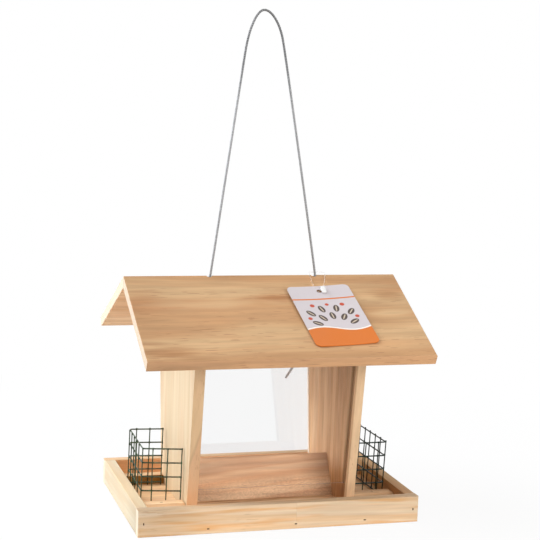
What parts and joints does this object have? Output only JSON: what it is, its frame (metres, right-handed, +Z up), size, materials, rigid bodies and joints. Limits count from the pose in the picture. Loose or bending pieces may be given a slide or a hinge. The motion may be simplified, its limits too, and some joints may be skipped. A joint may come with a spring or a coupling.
{
  "type": "hopper bird feeder",
  "caption": "Hanging hopper bird feeder: pine tray, clear seed panes between leaning side boards, wire mesh food baskets at the ends and a pitched roof that lifts along its wire.",
  "frame": {"origin": "middle of the tray's underside, on the surface that it stands on", "axes": "+X along the ridge, +Y from the front to the back, +Z up"},
  "size_m": [0.256, 0.226, 0.4503],
  "materials": {
    "pine_rail": "planed, unvarnished pine",
    "pine_cleat": "planed, unvarnished pine",
    "pine_board": "planed, unvarnished pine",
    "pine_divider": "planed pine in the hopper's shade",
    "pine_roof": "planed, unvarnished pine",
    "clear_pane": "clear plastic sheet",
    "green_mesh": "dark green coated wire",
    "wire_steel": "galvanised wire",
    "ferrule_metal": "crimped sleeve",
    "brad_steel": "dull steel",
    "tag_card": "printed card",
    "clear_strap": "clear nylon"
  },
  "bodies": {
    "base": {"front_rail": "pine_rail", "back_rail": "pine_rail", "left_rail": "pine_rail", "right_rail": "pine_rail", "floor_board": "pine_rail", "front_left_cleat": "pine_cleat", "front_right_cleat": "pine_cleat", "back_left_cleat": "pine_cleat", "back_right_cleat": "pine_cleat", "left_side_board": "pine_board", "right_side_board": "pine_board", "seed_divider": "pine_divider", "hanger_bar": "pine_divider", "front_pane": "clear_pane", "back_pane": "clear_pane", "left_basket": "green_mesh", "right_basket": "green_mesh", "hanging_wire": "wire_steel", "wire_ferrules": "ferrule_metal", "tray_brads": "brad_steel", "cleat_brads": "brad_steel", "underside_brads": "brad_steel", "bar_brads": "brad_steel"},
    "roof": {"front_roof_board": "pine_roof", "back_roof_board": "pine_roof", "ridge_brads": "brad_steel"},
    "tag": {"swing_tag": "tag_card", "tag_strap": "clear_strap"}
  },
  "joints": [
    {"name": "roof_lift", "type": "slide", "parent": "base", "child": "roof", "axis": [0, 0, 1], "range_m": [0, 0.1], "deforming": ["hanging_wire"]},
    {"name": "tag_swing", "type": "hinge", "parent": "roof", "child": "tag", "pos_m": [0.04948, 0, 0.2133], "axis": [-1, 0, 0], "range_deg": [0, 60]}
  ]
}
